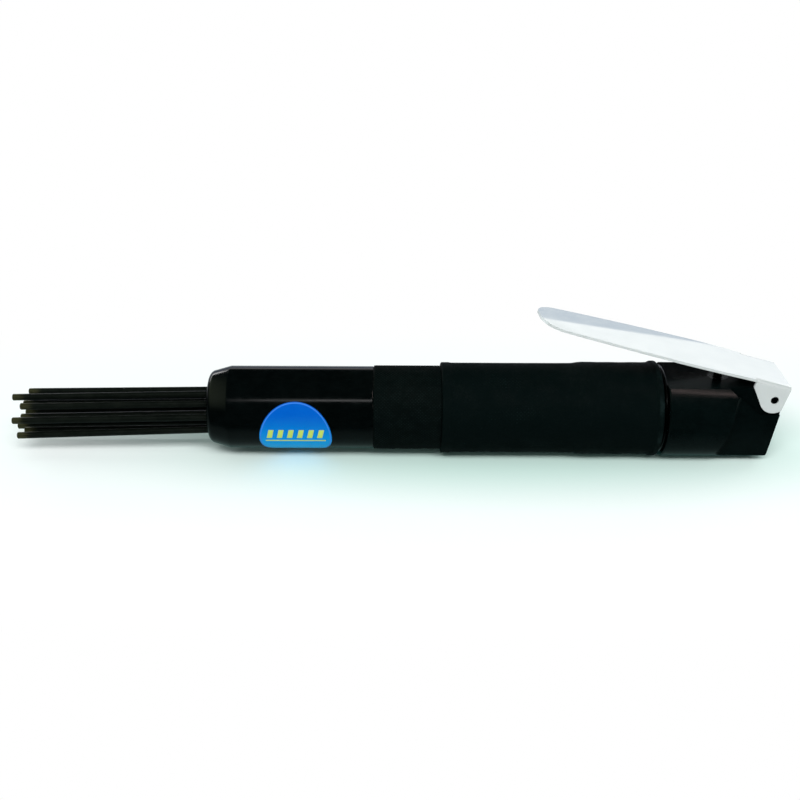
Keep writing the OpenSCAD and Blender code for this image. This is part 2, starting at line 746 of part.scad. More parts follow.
module blade_plan() {
    union() {
        translate([lever_end_r - lever_reach, -lever_half])
            square([lever_reach - lever_end_r - ear_front, lever_w]);
        translate([-lever_reach, lever_end_r - lever_half])
            square([lever_reach - ear_front, lever_w - 2 * lever_end_r]);
        for (side = [-1, 1]) translate([lever_end_r - lever_reach, side * (lever_half - lever_end_r)])
            circle(r = lever_end_r);
    }
}

// Half of a channel's outline, with a rounded corner
module channel_half(half, top, corner) {
    union() {
        translate([0, -far]) square([half, far + top - corner]);
        square([half - corner, top]);
        translate([half - corner, top - corner]) circle(r = corner);
    }
}

// Section across the ears: the sheet bends down on both sides
module ear_section() {
    difference() {
        for (side = [0, 1]) mirror([side, 0]) channel_half(lever_half, blade_top, bend_outer);
        for (side = [0, 1]) mirror([side, 0]) channel_half(ear_inner, blade_rise, bend_r);
    }
}

// Side view of an ear and of the blade over it
module ear_outline() {
    tangent_point = ear_r * [-cos(tangent_turn), sin(tangent_turn)];
    intersection() {
        union() {
            circle(r = ear_r);
            polygon([[0, 0], [lever_heel, 0], [lever_heel, blade_top + 1], [-ear_front, blade_top + 1],
                [-ear_front, ear_corner], tangent_point]);
        }
        translate([-far, -far]) square([far + lever_heel, 2 * far]);
    }
}

module lever() {
    color([0.8, 0.81, 0.83]) lever_frame() difference() {
        union() {
            translate([0, 0, blade_rise]) linear_extrude(height = lever_t) blade_plan();
            intersection() {
                translate([-ear_front - slip, 0, 0]) rotate([90, 0, 90])
                    linear_extrude(height = ear_front + lever_heel + 1) ear_section();
                rotate([90, 0, 0]) linear_extrude(height = 2 * far, center = true) ear_outline();
            }
        }
        rotate([90, 0, 0]) cylinder(d = pivot_d + 2 * run_gap, h = 2 * far, center = true);
    }
}

// Rolled pin with its slit facing the drum
module lever_pin() {
    length = lever_w - 2 * ear_gap;
    color([0.12, 0.12, 0.13]) upright(s_pivot) translate([0, 0, pivot_z]) rotate([90, 0, 0]) difference() {
        cylinder(d = pivot_d, h = length, center = true);
        cylinder(d = pivot_d - 2 * roll_t, h = length + 2, center = true);
        translate([-far, -roll_t / 2, -far]) cube([far, roll_t, 2 * far]);
    }
}

module return_spring() {
    start = nose_seat_t + slip;
    color([0.4, 0.4, 0.42]) along(start)
        coil(return_coil_r, return_wire_d, return_turns, s_plate - slip - start);
}

module needle_holder() {
    hole_r = needle_d / 2 + needle_hole_gap;
    color([0.45, 0.45, 0.47]) difference() {
        turned() polygon([[0, s_plate], [holder_r - edge, s_plate], [holder_r, s_plate + edge],
            [holder_r, s_rim], [cup_r, s_rim], [cup_r, s_floor], [0, s_floor]]);
        for (i = [0 : outer_count + inner_count - 1]) tool()
            translate([s_plate - 1, needle_y(i), needle_z(i)]) rotate([0, 90, 0])
                cylinder(r = hole_r, h = far);
    }
}

module anvil() {
    flange_r = holder_r - holder_gap;
    stem_r = anvil_stem_d / 2;
    color([0.55, 0.55, 0.57]) turned() polygon([[0, s_anvil], [flange_r - edge, s_anvil],
        [flange_r, s_anvil + edge], [flange_r, s_flange_end], [stem_r, s_flange_end],
        [stem_r, s_stem_end - edge], [stem_r - edge, s_stem_end], [0, s_stem_end]]);
}

module piston() {
    piston_r = bore_r - run_gap;
    s_end = s_piston + piston_len;
    color([0.6, 0.6, 0.62]) turned() difference() {
        polygon([[0, s_piston], [piston_r - edge, s_piston], [piston_r, s_piston + edge],
            [piston_r, s_end - edge], [piston_r - edge, s_end], [0, s_end]]);
        for (share = [0.25, 0.75]) translate([piston_r - edge, s_piston + share * piston_len])
            square([edge + 1, 2 * edge]);
    }
}

// One needle, with its axis through the middle of its hole in the holder
module needle(i) {
    under_head = holder_plate_t / 2 + seat_gap + needle_setback[i];
    tip = under_head - needle_len + needle_head_t;
    shank_r = needle_d / 2;
    color([0.2, 0.2, 0.19]) tool() translate([s_hole, needle_y(i), needle_z(i)])
        rotate([0, -needle_pitch(i), needle_yaw(i)]) rotate([0, 90, 0]) rotate_extrude()
            polygon([[0, tip], [shank_r - edge / 2, tip], [shank_r, tip + edge / 2], [shank_r, under_head],
                [needle_head_d / 2, under_head], [needle_head_d / 2, under_head + needle_head_t],
                [0, under_head + needle_head_t]]);
}

throttle_body();
barrel();
front_tube();
grip_sleeve();
sleeve_ring();
label();
anvil_bush();
valve_block();
valve_cap();
valve_dowels();
valve_disc();
barrel_seal();
inlet_screen();
pin_bush();
pin_seal();
throttle_pin();
throttle_valve();
throttle_face();
throttle_spring();
throttle_plug();
plug_seal();
lever();
lever_pin();
return_spring();
needle_holder();
anvil();
piston();
needle(0);  // needle_01
needle(1);  // needle_02
needle(2);  // needle_03
needle(3);  // needle_04
needle(4);  // needle_05
needle(5);  // needle_06
needle(6);  // needle_07
needle(7);  // needle_08
needle(8);  // needle_09
needle(9);  // needle_10
needle(10);  // needle_11
needle(11);  // needle_12
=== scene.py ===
"""Looks of a straight air needle scaler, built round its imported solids.

Blender works in metres. Sizes below are in millimetres where their comment says so, and MM turns them into metres.
s runs rearwards along the tool's axis from the nose plane, and r is the distance from that axis.
"""

import math

import bmesh
import bpy
import numpy as np
from mathutils import Matrix, Quaternion, Vector


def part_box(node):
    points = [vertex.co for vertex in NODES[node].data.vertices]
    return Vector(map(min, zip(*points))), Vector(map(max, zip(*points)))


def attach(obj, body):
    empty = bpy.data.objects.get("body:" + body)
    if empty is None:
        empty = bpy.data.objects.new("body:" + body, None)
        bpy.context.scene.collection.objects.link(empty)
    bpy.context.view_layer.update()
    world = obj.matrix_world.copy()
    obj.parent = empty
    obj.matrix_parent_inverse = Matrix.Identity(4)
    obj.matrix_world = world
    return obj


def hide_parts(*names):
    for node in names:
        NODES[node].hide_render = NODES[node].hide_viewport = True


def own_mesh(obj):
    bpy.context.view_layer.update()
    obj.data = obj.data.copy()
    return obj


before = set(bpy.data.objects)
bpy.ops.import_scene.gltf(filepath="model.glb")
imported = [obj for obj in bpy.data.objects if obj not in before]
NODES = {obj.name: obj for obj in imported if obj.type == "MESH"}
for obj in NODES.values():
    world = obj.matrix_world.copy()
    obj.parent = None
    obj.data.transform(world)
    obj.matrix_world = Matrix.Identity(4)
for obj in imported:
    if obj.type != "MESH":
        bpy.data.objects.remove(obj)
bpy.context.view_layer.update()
SCENE = bpy.context.scene
MM = 0.001

# Camera, worked out from the photograph, in metres and degrees
CAMERA_PLACE = (-0.0046, -0.4394, 0.25905)
CAMERA_AIM = (0.0022, 0.0015, 0.02325)
CAMERA_ROLL = 0.65
CAMERA_LENS = 49.5

# Places along the axis, mm behind the nose plane
BORE_START = 9.0
NOSE_END = 9.5
LABEL_PLACE = 39.5
TUBE_END = 73.8
SPIGOT_END = 87.2
SLEEVE_START = 104.1
RELIEF_END = 158.5
RAMP_START = 162.2
WRINKLE_PLACE = 166.0
RAMP_END = 168.2
SLEEVE_END = 201.5
DRUM_START = 203.7
PIVOT_PLACE = 250.8

# Radii and heights, mm from the axis
TUBE_R = 18.5
TUBE_BORE_R = 15.3
NOSE_OPEN_R = 13.3
SPIGOT_R = 16.6
COLLAR_R = 18.7
SLEEVE_FRONT_R = 20.35
SLEEVE_REAR_R = 20.95
SLEEVE_FRONT_BORE = 18.76
SLEEVE_REAR_BORE = 19.46
PIVOT_HEIGHT = 11.4

# Nose of the tube, mm and degrees
NOSE_TAPER = 16
NOSE_ROUND = 3.2

# Label, mm and degrees: half its length, half its reach round the tube, its lean below level and its film
LABEL_HALF_LEN = 16.0
LABEL_HALF_ARC = 17.8
LABEL_DIP = 20.0
FILM_GAP = 0.02
FILM_THICK = 0.2

# Sleeve, mm: heights and lengths of its rim and lip, and the rounding of both ends
RIM_HEIGHT = 0.15
LIP_HEIGHT = 0.7
RIM_LEN = 4.2
LIP_LEN = 4
FRONT_ROUND = 0.6
BACK_ROUND = 0.9

# Lever, degrees and mm: its released angle, half its width, its reach and its ears in front of the pivot
LEVER_ANGLE = 15.2
LEVER_HALF = 13.7
LEVER_REACH = 110.2
EAR_FRONT = 11.4

# Air inlet: the middle of its mouth in metres, and the direction out of it
INLET_MOUTH = (0.1625939, 0, 0.0133894)
INLET_OUT = (0.99026807, 0, -0.1391731)

# Creases sharper than these stay sharp in the shading, degrees
TURNED_CREASE = 32
ROUND_CREASE = 50
RELIEF_CREASE = 70
KNURL_CREASE = 75
CAST_CREASE = 40

tube_low, tube_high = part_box("front_tube")
NOSE_X = tube_low.x
AXIS_Z = (tube_low.z + tube_high.z) / 2


# ---------------------------------------------------------------- camera

def photo_camera():
    lens = bpy.data.cameras.new("photo_camera")
    lens.sensor_width = 36
    lens.lens = CAMERA_LENS
    camera = bpy.data.objects.new("photo_camera", lens)
    camera.location = CAMERA_PLACE
    camera.rotation_mode = "QUATERNION"
    look = (Vector(CAMERA_AIM) - Vector(CAMERA_PLACE)).to_track_quat("-Z", "Y")
    camera.rotation_quaternion = look @ Quaternion((0, 0, 1), math.radians(CAMERA_ROLL))
    SCENE.collection.objects.link(camera)
    SCENE.camera = camera


photo_camera()


# ---------------------------------------------------------------- mesh helpers

def axis_x(s):
    """Blender x of a place s mm behind the nose plane."""
    return NOSE_X + s * MM


def smooth_step(low, high, value):
    share = np.clip((value - low) / (high - low), 0, 1)
    return share * share * (3 - 2 * share)


def arc(centre_s, centre_r, radius, start, stop, steps):
    """Points (s, r) on an arc; the angle is measured from the +s direction, in degrees."""
    turns = np.radians(np.linspace(start, stop, steps))
    return [(centre_s + radius * math.cos(t), centre_r + radius * math.sin(t)) for t in turns]


def piece_from_mesh(name, mesh):
    piece = bpy.data.objects.new(name, mesh)
    SCENE.collection.objects.link(piece)
    return piece


def shade_smooth(mesh, sharp_angle):
    mesh.polygons.foreach_set("use_smooth", np.ones(len(mesh.polygons), bool))
    mesh.set_sharp_from_angle(angle=math.radians(sharp_angle))
    mesh.update()


def closed_grid(name, points, sharp_angle):
    """A piece from rows of points; both directions close on themselves."""
    rows, columns = points.shape[:2]
    index = np.arange(rows * columns).reshape(rows, columns)
    below, right = np.roll(index, -1, 0), np.roll(index, -1, 1)
    both = np.roll(below, -1, 1)
    faces = np.stack([index, right, both, below], -1).reshape(-1, 4)
    mesh = bpy.data.meshes.new(name)
    mesh.from_pydata(points.reshape(-1, 3).tolist(), [], faces.tolist())
    shade_smooth(mesh, sharp_angle)
    return piece_from_mesh(name, mesh)


def round_points(s, r, columns):
    """Points round the axis: s and r are arrays of (rows) or (rows, columns), in mm."""
    turn = np.linspace(0, 2 * math.pi, columns, endpoint=False)
    s, r = np.array(s, float), np.array(r, float)
    s = np.broadcast_to(s[:, None] if s.ndim == 1 else s, (len(s), columns))
    r = np.broadcast_to(r[:, None] if r.ndim == 1 else r, (len(r), columns))
    return np.stack([axis_x(s), r * MM * np.cos(turn), AXIS_Z + r * MM * np.sin(turn)], -1)


def turned_piece(name, section, columns):
    """A piece turned from a closed section of (s, r) points."""
    s, r = zip(*section)
    return closed_grid(name, round_points(s, r, columns), TURNED_CREASE)


def paint_points(piece, name, values):
    """A named value at each point, for the materials."""
    layer = piece.data.attributes.new(name, "FLOAT", "POINT")
    layer.data.foreach_set("value", np.ascontiguousarray(values, np.float32).ravel())


def give_finish(piece, material):
    if piece.material_slots:
        piece.material_slots[0].material = material
    else:
        piece.data.materials.append(material)


def settle(piece, material, body, slot, *nodes):
    """The piece takes a material, rides on a body and stands for CAD nodes; slot is not used."""
    give_finish(piece, material)
    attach(piece, body)
    if nodes:
        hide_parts(*nodes)
    return piece


# ---------------------------------------------------------------- material helpers

def add_node(tree, kind, **settings):
    node = tree.nodes.new(kind)
    for setting, value in settings.items():
        setattr(node, setting, value)
    return node


def plug(tree, socket, source):
    """A socket takes a number, a colour or another node's output."""
    if isinstance(source, bpy.types.NodeSocket):
        tree.links.new(source, socket)
    else:
        socket.default_value = source


def maths(tree, operation, *values, clamp=False):
    node = add_node(tree, "ShaderNodeMath", operation=operation, use_clamp=clamp)
    for socket, value in zip(node.inputs, values):
        plug(tree, socket, value)
    return node.outputs[0]


def span(tree, value, low, high, to_low=0.0, to_high=1.0):
    """Smoothly maps low..high to to_low..to_high."""
    node = add_node(tree, "ShaderNodeMapRange", interpolation_type="SMOOTHSTEP")
    for socket, given in zip(node.inputs, (value, low, high, to_low, to_high)):
        plug(tree, socket, given)
    return node.outputs[0]


def blend_colour(tree, share, first, second):
    node = add_node(tree, "ShaderNodeMix", data_type="RGBA")
    for socket, given in zip((node.inputs[0], node.inputs[6], node.inputs[7]), (share, first, second)):
        plug(tree, socket, given)
    return node.outputs[2]


def noise_at(tree, vector, scale, detail, roughness=0.55):
    node = add_node(tree, "ShaderNodeTexNoise")
    plug(tree, node.inputs["Vector"], vector)
    plug(tree, node.inputs["Scale"], scale)
    node.inputs["Detail"].default_value = detail
    node.inputs["Roughness"].default_value = roughness
    return node.outputs["Fac"]


def object_place(tree):
    return add_node(tree, "ShaderNodeTexCoord").outputs["Object"]


def point_value(tree, name):
    return add_node(tree, "ShaderNodeAttribute", attribute_name=name).outputs["Fac"]


def effect_group(name, inputs, outputs):
    """An empty node group with named value sockets, with its two ends."""
    group = bpy.data.node_groups.new(name, "ShaderNodeTree")
    for socket, value in inputs.items():
        made = group.interface.new_socket(socket, in_out="INPUT", socket_type="NodeSocketFloat")
        made.default_value = value
    for socket in outputs:
        group.interface.new_socket(socket, in_out="OUTPUT", socket_type="NodeSocketFloat")
    return group, add_node(group, "NodeGroupInput").outputs, add_node(group, "NodeGroupOutput").inputs


def place_effect(tree, group, **values):
    """One use of a shared effect. A word's underscore stands for a space in the socket's name."""
    node = add_node(tree, "ShaderNodeGroup", node_tree=group)
    for socket, value in values.items():
        plug(tree, node.inputs[socket.replace("_", " ")], value)
    return node.outputs


def finish_on(name, **sockets):
    """A material, its tree and its shader, with plain numbers set on the shader's own sockets."""
    material = bpy.data.materials.new(name)
    material.use_nodes = True
    tree = material.node_tree
    shader = tree.nodes["Principled BSDF"]
    for socket, value in sockets.items():
        shader.inputs[socket.replace("_", " ")].default_value = value
    return material, tree, shader.inputs


def raise_surface(tree, inputs, height, distance):
    """Fine relief: distance is the full height in mm."""
    bump = add_node(tree, "ShaderNodeBump")
    bump.inputs["Distance"].default_value = distance * MM
    plug(tree, bump.inputs["Height"], height)
    plug(tree, inputs["Normal"], bump.outputs["Normal"])


# ---------------------------------------------------------------- shared effects

def make_grain():
    """Fine speckle of cast paint, moulded rubber or blasted steel."""
    group, given, out = effect_group(
        "fine_grain", {"Scale": 4000.0, "Coarse Scale": 600.0, "Coarse Share": 0.3}, ["Grain"])
    place = object_place(group)
    fine = noise_at(group, place, given["Scale"], 4)
    coarse = noise_at(group, place, given["Coarse Scale"], 2)
    mixed = add_node(group, "ShaderNodeMix")
    for socket, source in ((0, given["Coarse Share"]), (2, fine), (3, coarse)):
        plug(group, mixed.inputs[socket], source)
    plug(group, out["Grain"], mixed.outputs[0])
    return group


def make_handling():
    """Uneven gloss left by hands and oil."""
    group, given, out = effect_group("handling_marks", {"Scale": 60.0, "Low": 0.1, "High": 0.2}, ["Gloss", "Marks"])
    place = object_place(group)
    broad = noise_at(group, place, given["Scale"], 2)
    streak = noise_at(group, place, maths(group, "MULTIPLY", given["Scale"], 7.0), 4, 0.65)
    marks = span(group, maths(group, "MULTIPLY_ADD", streak, 0.45, maths(group, "MULTIPLY", broad, 0.55)), 0.36, 0.64)
    plug(group, out["Marks"], marks)
    reach = maths(group, "SUBTRACT", given["High"], given["Low"])
    plug(group, out["Gloss"], maths(group, "MULTIPLY_ADD", marks, reach, given["Low"]))
    return group


def make_edge_wear():
    """Rubbed edges, broken up by noise."""
    group, given, out = effect_group("edge_wear", {"Edge": 0.0, "Scale": 300.0, "Amount": 0.5}, ["Wear"])
    rough = noise_at(group, object_place(group), given["Scale"], 5, 0.7)
    limit = maths(group, "SUBTRACT", 1.0, given["Amount"])
    worn = maths(group, "MULTIPLY", given["Edge"], maths(group, "MULTIPLY_ADD", rough, 1.4, 0.1))
    plug(group, out["Wear"], span(group, worn, limit, maths(group, "ADD", limit, 0.25)))
    return group


def make_dust():
    """Thin dust on faces that look up."""
    group, given, out = effect_group("settled_dust", {"Scale": 900.0, "Amount": 0.2}, ["Dust"])
    facing = add_node(group, "ShaderNodeSeparateXYZ")
    plug(group, facing.inputs[0], add_node(group, "ShaderNodeNewGeometry").outputs["Normal"])
    upward = span(group, facing.outputs["Z"], -0.2, 1.0)
    place = object_place(group)
    specks = span(group, noise_at(group, place, given["Scale"], 5, 0.7), 0.42, 0.72)
    patches = span(group, noise_at(group, place, maths(group, "MULTIPLY", given["Scale"], 0.06), 3), 0.3, 0.75)
    share = maths(group, "MULTIPLY", maths(group, "MULTIPLY", specks, patches), upward)
    plug(group, out["Dust"], maths(group, "MULTIPLY", share, given["Amount"], clamp=True))
    return group


def make_drawn_lines():
    """Fine lines left by rolling, drawing or turning; each stretch is the grain's scale along an axis."""
    group, given, out = effect_group(
        "drawn_lines", {"Along X": 40.0, "Along Y": 4000.0, "Along Z": 4000.0}, ["Lines", "Bands"])
    stretch = add_node(group, "ShaderNodeCombineXYZ")
    for axis in "XYZ":
        plug(group, stretch.inputs[axis], given["Along " + axis])
    placed = add_node(group, "ShaderNodeVectorMath", operation="MULTIPLY")
    plug(group, placed.inputs[0], object_place(group))
    plug(group, placed.inputs[1], stretch.outputs[0])
    plug(group, out["Lines"], noise_at(group, placed.outputs[0], 1.0, 4, 0.65))
    plug(group, out["Bands"], noise_at(group, placed.outputs[0], 0.12, 2))
    return group


GRAIN = make_grain()
HANDLING = make_handling()
EDGE_WEAR = make_edge_wear()
DUST = make_dust()
DRAWN_LINES = make_drawn_lines()

DUST_GREY = (0.32, 0.31, 0.29, 1)
WHITE = (1, 1, 1, 1)


# ---------------------------------------------------------------- finishes

def gloss_black_enamel():
    """Front tube: deep gloss enamel with a faint orange peel."""
    material, tree, inputs = finish_on("gloss_black_enamel", Specular_IOR_Level=0.10)
    marks = place_effect(tree, HANDLING, Scale=45.0, Low=0.10, High=0.18)
    dust = place_effect(tree, DUST, Scale=2600.0, Amount=0.006)["Dust"]
    wear = place_effect(tree, EDGE_WEAR, Edge=point_value(tree, "edge"), Scale=500.0, Amount=0.45)["Wear"]
    coat = blend_colour(tree, marks["Marks"], (0.0004, 0.0010, 0.0010, 1), (0.0009, 0.0019, 0.0019, 1))
    coat = blend_colour(tree, dust, coat, DUST_GREY)
    plug(tree, inputs["Base Color"], blend_colour(tree, wear, coat, (0.035, 0.034, 0.032, 1)))
    plug(tree, inputs["Roughness"], marks["Gloss"])
    peel = place_effect(tree, GRAIN, Scale=700.0, Coarse_Scale=260.0, Coarse_Share=0.5)["Grain"]
    raise_surface(tree, inputs, peel, 0.004)
    return material


def satin_black_paint():
    """Head: satin paint over cast and milled metal, rubbed at its edges."""
    material, tree, inputs = finish_on("satin_black_paint", Specular_IOR_Level=0.05)
    marks = place_effect(tree, HANDLING, Scale=70.0, Low=0.13, High=0.19)
    wear = place_effect(tree, EDGE_WEAR, Edge=point_value(tree, "edge"), Scale=420.0, Amount=0.1)["Wear"]
    dust = place_effect(tree, DUST, Scale=2200.0, Amount=0.005)["Dust"]
    paint = blend_colour(tree, marks["Marks"], (0.0007, 0.0020, 0.0020, 1), (0.0013, 0.0033, 0.0033, 1))
    paint = blend_colour(tree, dust, paint, DUST_GREY)
    plug(tree, inputs["Base Color"], blend_colour(tree, wear, paint, (0.045, 0.046, 0.044, 1)))
    plug(tree, inputs["Roughness"], marks["Gloss"])
    grain = place_effect(tree, GRAIN, Scale=2600.0, Coarse_Scale=700.0, Coarse_Share=0.4)["Grain"]
    raise_surface(tree, inputs, grain, 0.0018)
    return material


def blackened_knurl():
    """Barrel: blackened steel, its knurl's crests rubbed paler."""
    material, tree, inputs = finish_on("blackened_knurl", Specular_IOR_Level=0.04)
    grain = place_effect(tree, GRAIN, Scale=5200.0, Coarse_Scale=800.0, Coarse_Share=0.35)["Grain"]
    wear = place_effect(tree, EDGE_WEAR, Edge=point_value(tree, "crest"), Scale=260.0, Amount=0.45)["Wear"]
    dust = place_effect(tree, DUST, Scale=1500.0, Amount=0.012)["Dust"]
    steel = blend_colour(tree, grain, (0.0004, 0.0016, 0.0015, 1), (0.0014, 0.0036, 0.0034, 1))
    steel = blend_colour(tree, dust, steel, DUST_GREY)
    plug(tree, inputs["Base Color"], blend_colour(tree, wear, steel, (0.0058, 0.0108, 0.0104, 1)))
    plug(tree, inputs["Roughness"], span(tree, grain, 0.2, 0.8, 0.46, 0.66))
    raise_surface(tree, inputs, grain, 0.02)
    return material


def grip_rubber():
    """Sleeve: dull black rubber with a moulded grain and dust in its hollows."""
    material, tree, inputs = finish_on("grip_rubber", Specular_IOR_Level=0.03)
    grain = place_effect(tree, GRAIN, Scale=4200.0, Coarse_Scale=420.0, Coarse_Share=0.35)["Grain"]
    marks = place_effect(tree, HANDLING, Scale=90.0, Low=0.52, High=0.7)
    dust = place_effect(tree, DUST, Scale=1800.0, Amount=0.012)["Dust"]
    crest = place_effect(tree, EDGE_WEAR, Edge=point_value(tree, "crest"), Scale=160.0, Amount=0.5)["Wear"]
    rubber = blend_colour(tree, grain, (0.0005, 0.0021, 0.0021, 1), (0.0016, 0.0044, 0.0044, 1))
    rubber = blend_colour(tree, dust, rubber, DUST_GREY)
    plug(tree, inputs["Base Color"], blend_colour(tree, crest, rubber, (0.0056, 0.0112, 0.0112, 1)))
    plug(tree, inputs["Roughness"], marks["Gloss"])
    raise_surface(tree, inputs, grain, 0.03)
    return material


def plated_sheet():
    """Lever: bright plated sheet with fine rolling lines and small scuffs."""
    material, tree, inputs = finish_on("plated_sheet", Metallic=0.46)
    lines = place_effect(tree, DRAWN_LINES, Along_X=90.0, Along_Y=5200.0, Along_Z=900.0)
    marks = place_effect(tree, HANDLING, Scale=110.0, Low=0.15, High=0.21)
    wear = place_effect(tree, EDGE_WEAR, Edge=point_value(tree, "edge"), Scale=600.0, Amount=0.45)["Wear"]
    plate = blend_colour(tree, lines["Bands"], (0.93, 0.935, 0.94, 1), (0.97, 0.97, 0.97, 1))
    plug(tree, inputs["Base Color"], blend_colour(tree, wear, plate, (0.62, 0.61, 0.58, 1)))
    plug(tree, inputs["Roughness"], marks["Gloss"])
    raise_surface(tree, inputs, lines["Lines"], 0.0007)
    return material


def oxide_needle_steel():
    """Needles: dark oxide with drawing lines, worn to khaki steel near their tips."""
    material, tree, inputs = finish_on("oxide_needle_steel", Specular_IOR_Level=0.10)
    along = add_node(tree, "ShaderNodeSeparateXYZ")
    plug(tree, along.inputs[0], add_node(tree, "ShaderNodeTexCoord").outputs["Generated"])
    lines = place_effect(tree, DRAWN_LINES, Along_X=160.0, Along_Y=3600.0, Along_Z=3600.0)
    marks = place_effect(tree, HANDLING, Scale=240.0, Low=0.30, High=0.46)
    ragged = maths(tree, "MULTIPLY_ADD", lines["Lines"], 0.05, along.outputs["X"])
    tip = span(tree, ragged, 0.060, 0.028)
    oxide = blend_colour(tree, marks["Marks"], (0.0022, 0.0034, 0.0027, 1), (0.0060, 0.0078, 0.0062, 1))
    oxide = blend_colour(tree, maths(tree, "MULTIPLY", lines["Bands"], 0.3), oxide, (0.011, 0.015, 0.011, 1))
    plug(tree, inputs["Base Color"], blend_colour(tree, tip, oxide, (0.080, 0.078, 0.040, 1)))
    plug(tree, inputs["Metallic"], maths(tree, "MULTIPLY_ADD", tip, 0.45, 0.35))
    plug(tree, inputs["Roughness"], marks["Gloss"])
    raise_surface(tree, inputs, lines["Lines"], 0.01)
    return material


def blue_label_film():
    """Label: gloss blue film with a border, a row of slanted bars and a line below them; painted shade darkens its
    blue towards the top and painted light brightens it towards the bottom.
    """
    material, tree, inputs = finish_on("blue_label_film", Specular_IOR_Level=0.10)
    map_place = add_node(tree, "ShaderNodeSeparateXYZ")
    plug(tree, map_place.inputs[0], add_node(tree, "ShaderNodeTexCoord").outputs["UV"])
    along = maths(tree, "MULTIPLY_ADD", map_place.outputs["X"], 2.0, -1.0)
    across = maths(tree, "MULTIPLY_ADD", map_place.outputs["Y"], 2.0, -1.0)
    squares = [maths(tree, "MULTIPLY", way, way) for way in (along, across)]
    reach = maths(tree, "SQRT", maths(tree, "ADD", *squares))
    border = maths(tree, "MULTIPLY", span(tree, reach, 0.945, 0.957), span(tree, reach, 0.985, 0.973))
    lift = maths(tree, "SUBTRACT", across, 0.14)
    row = span(tree, maths(tree, "ABSOLUTE", lift), 0.135, 0.125)
    leaning = maths(tree, "MULTIPLY_ADD", lift, -0.9, maths(tree, "MULTIPLY_ADD", along, 3.6, 10.0))
    slant = maths(tree, "FRACT", leaning)
    bar = span(tree, maths(tree, "ABSOLUTE", maths(tree, "SUBTRACT", slant, 0.5)), 0.27, 0.24)
    ends = span(tree, maths(tree, "ABSOLUTE", along), 0.835, 0.825)
    bars = maths(tree, "MULTIPLY", maths(tree, "MULTIPLY", row, bar), ends)
    from_line = maths(tree, "ABSOLUTE", maths(tree, "ADD", lift, 0.23))
    line = maths(tree, "MULTIPLY", span(tree, from_line, 0.024, 0.018), ends)
    grain = place_effect(tree, GRAIN, Scale=3000.0, Coarse_Scale=300.0, Coarse_Share=0.6)["Grain"]
    marks = place_effect(tree, HANDLING, Scale=120.0, Low=0.16, High=0.26)
    # Painted shade and light: the film's blue is darker towards the top and brighter towards the bottom, as light
    # falls on it.
    film = blend_colour(tree, span(tree, across, 0.75, -0.6), (0.0, 0.075, 0.42, 1), (0.002, 0.34, 0.72, 1))
    film = blend_colour(tree, maths(tree, "MULTIPLY", grain, 0.12), film, (0.001, 0.25, 0.64, 1))
    film = blend_colour(tree, border, film, (0.035, 0.17, 0.62, 1))
    printed = maths(tree, "MAXIMUM", bars, line)
    plug(tree, inputs["Base Color"], blend_colour(tree, printed, film, (0.46, 0.56, 0.12, 1)))
    plug(tree, inputs["Roughness"], marks["Gloss"])
    raise_surface(tree, inputs, grain, 0.002)
    return material


def worked_metal(name, dark, light, gloss_low, gloss_high, lines_x, lines_across):
    """Turned or drawn metal of one colour, with tool lines and uneven gloss."""
    material, tree, inputs = finish_on(name, Metallic=1.0)
    lines = place_effect(tree, DRAWN_LINES, Along_X=lines_x, Along_Y=lines_across, Along_Z=lines_across)
    marks = place_effect(tree, HANDLING, Scale=150.0, Low=gloss_low, High=gloss_high)
    tone = blend_colour(tree, lines["Lines"], (*dark, 1), (*light, 1))
    stain = maths(tree, "MULTIPLY", marks["Marks"], 0.35)
    plug(tree, inputs["Base Color"], blend_colour(tree, stain, tone, (*dark, 1)))
    plug(tree, inputs["Roughness"], marks["Gloss"])
    raise_surface(tree, inputs, lines["Lines"], 0.004)
    return material


def ring_rubber():
    """Sealing rings and the valve's face: smooth black rubber with an oily film."""
    material, tree, inputs = finish_on("ring_rubber")
    grain = place_effect(tree, GRAIN, Scale=6000.0, Coarse_Scale=900.0, Coarse_Share=0.3)["Grain"]
    marks = place_effect(tree, HANDLING, Scale=200.0, Low=0.3, High=0.5)
    plug(tree, inputs["Base Color"], blend_colour(tree, grain, (0.008, 0.008, 0.008, 1), (0.02, 0.02, 0.019, 1)))
    plug(tree, inputs["Roughness"], marks["Gloss"])
    raise_surface(tree, inputs, grain, 0.006)
    return material


ENAMEL = gloss_black_enamel()
HEAD_PAINT = satin_black_paint()
KNURL_STEEL = blackened_knurl()
RUBBER = grip_rubber()
PLATE = plated_sheet()
NEEDLE_STEEL = oxide_needle_steel()
LABEL_FILM = blue_label_film()
SEAL_RUBBER = ring_rubber()
BRONZE = worked_metal("oiled_bronze", (0.30, 0.17, 0.07), (0.52, 0.33, 0.15), 0.24, 0.38, 3600.0, 120.0)
VALVE_STEEL = worked_metal("ground_valve_steel", (0.30, 0.30, 0.31), (0.48, 0.48, 0.49), 0.16, 0.28, 4200.0, 200.0)
BRIGHT_STEEL = worked_metal("bright_turned_steel", (0.46, 0.46, 0.47), (0.66, 0.66, 0.66), 0.16, 0.3, 3800.0, 160.0)
DARK_STEEL = worked_metal("blackened_steel", (0.010, 0.0105, 0.011), (0.024, 0.025, 0.025), 0.2, 0.34, 2600.0, 500.0)
SPRING_STEEL = worked_metal("oiled_spring_wire", (0.14, 0.13, 0.12), (0.26, 0.25, 0.24), 0.24, 0.38, 1500.0, 1500.0)
RING_WIRE = worked_metal("black_ring_wire", (0.006, 0.007, 0.007), (0.012, 0.013, 0.013), 0.2, 0.3, 2600.0, 500.0)

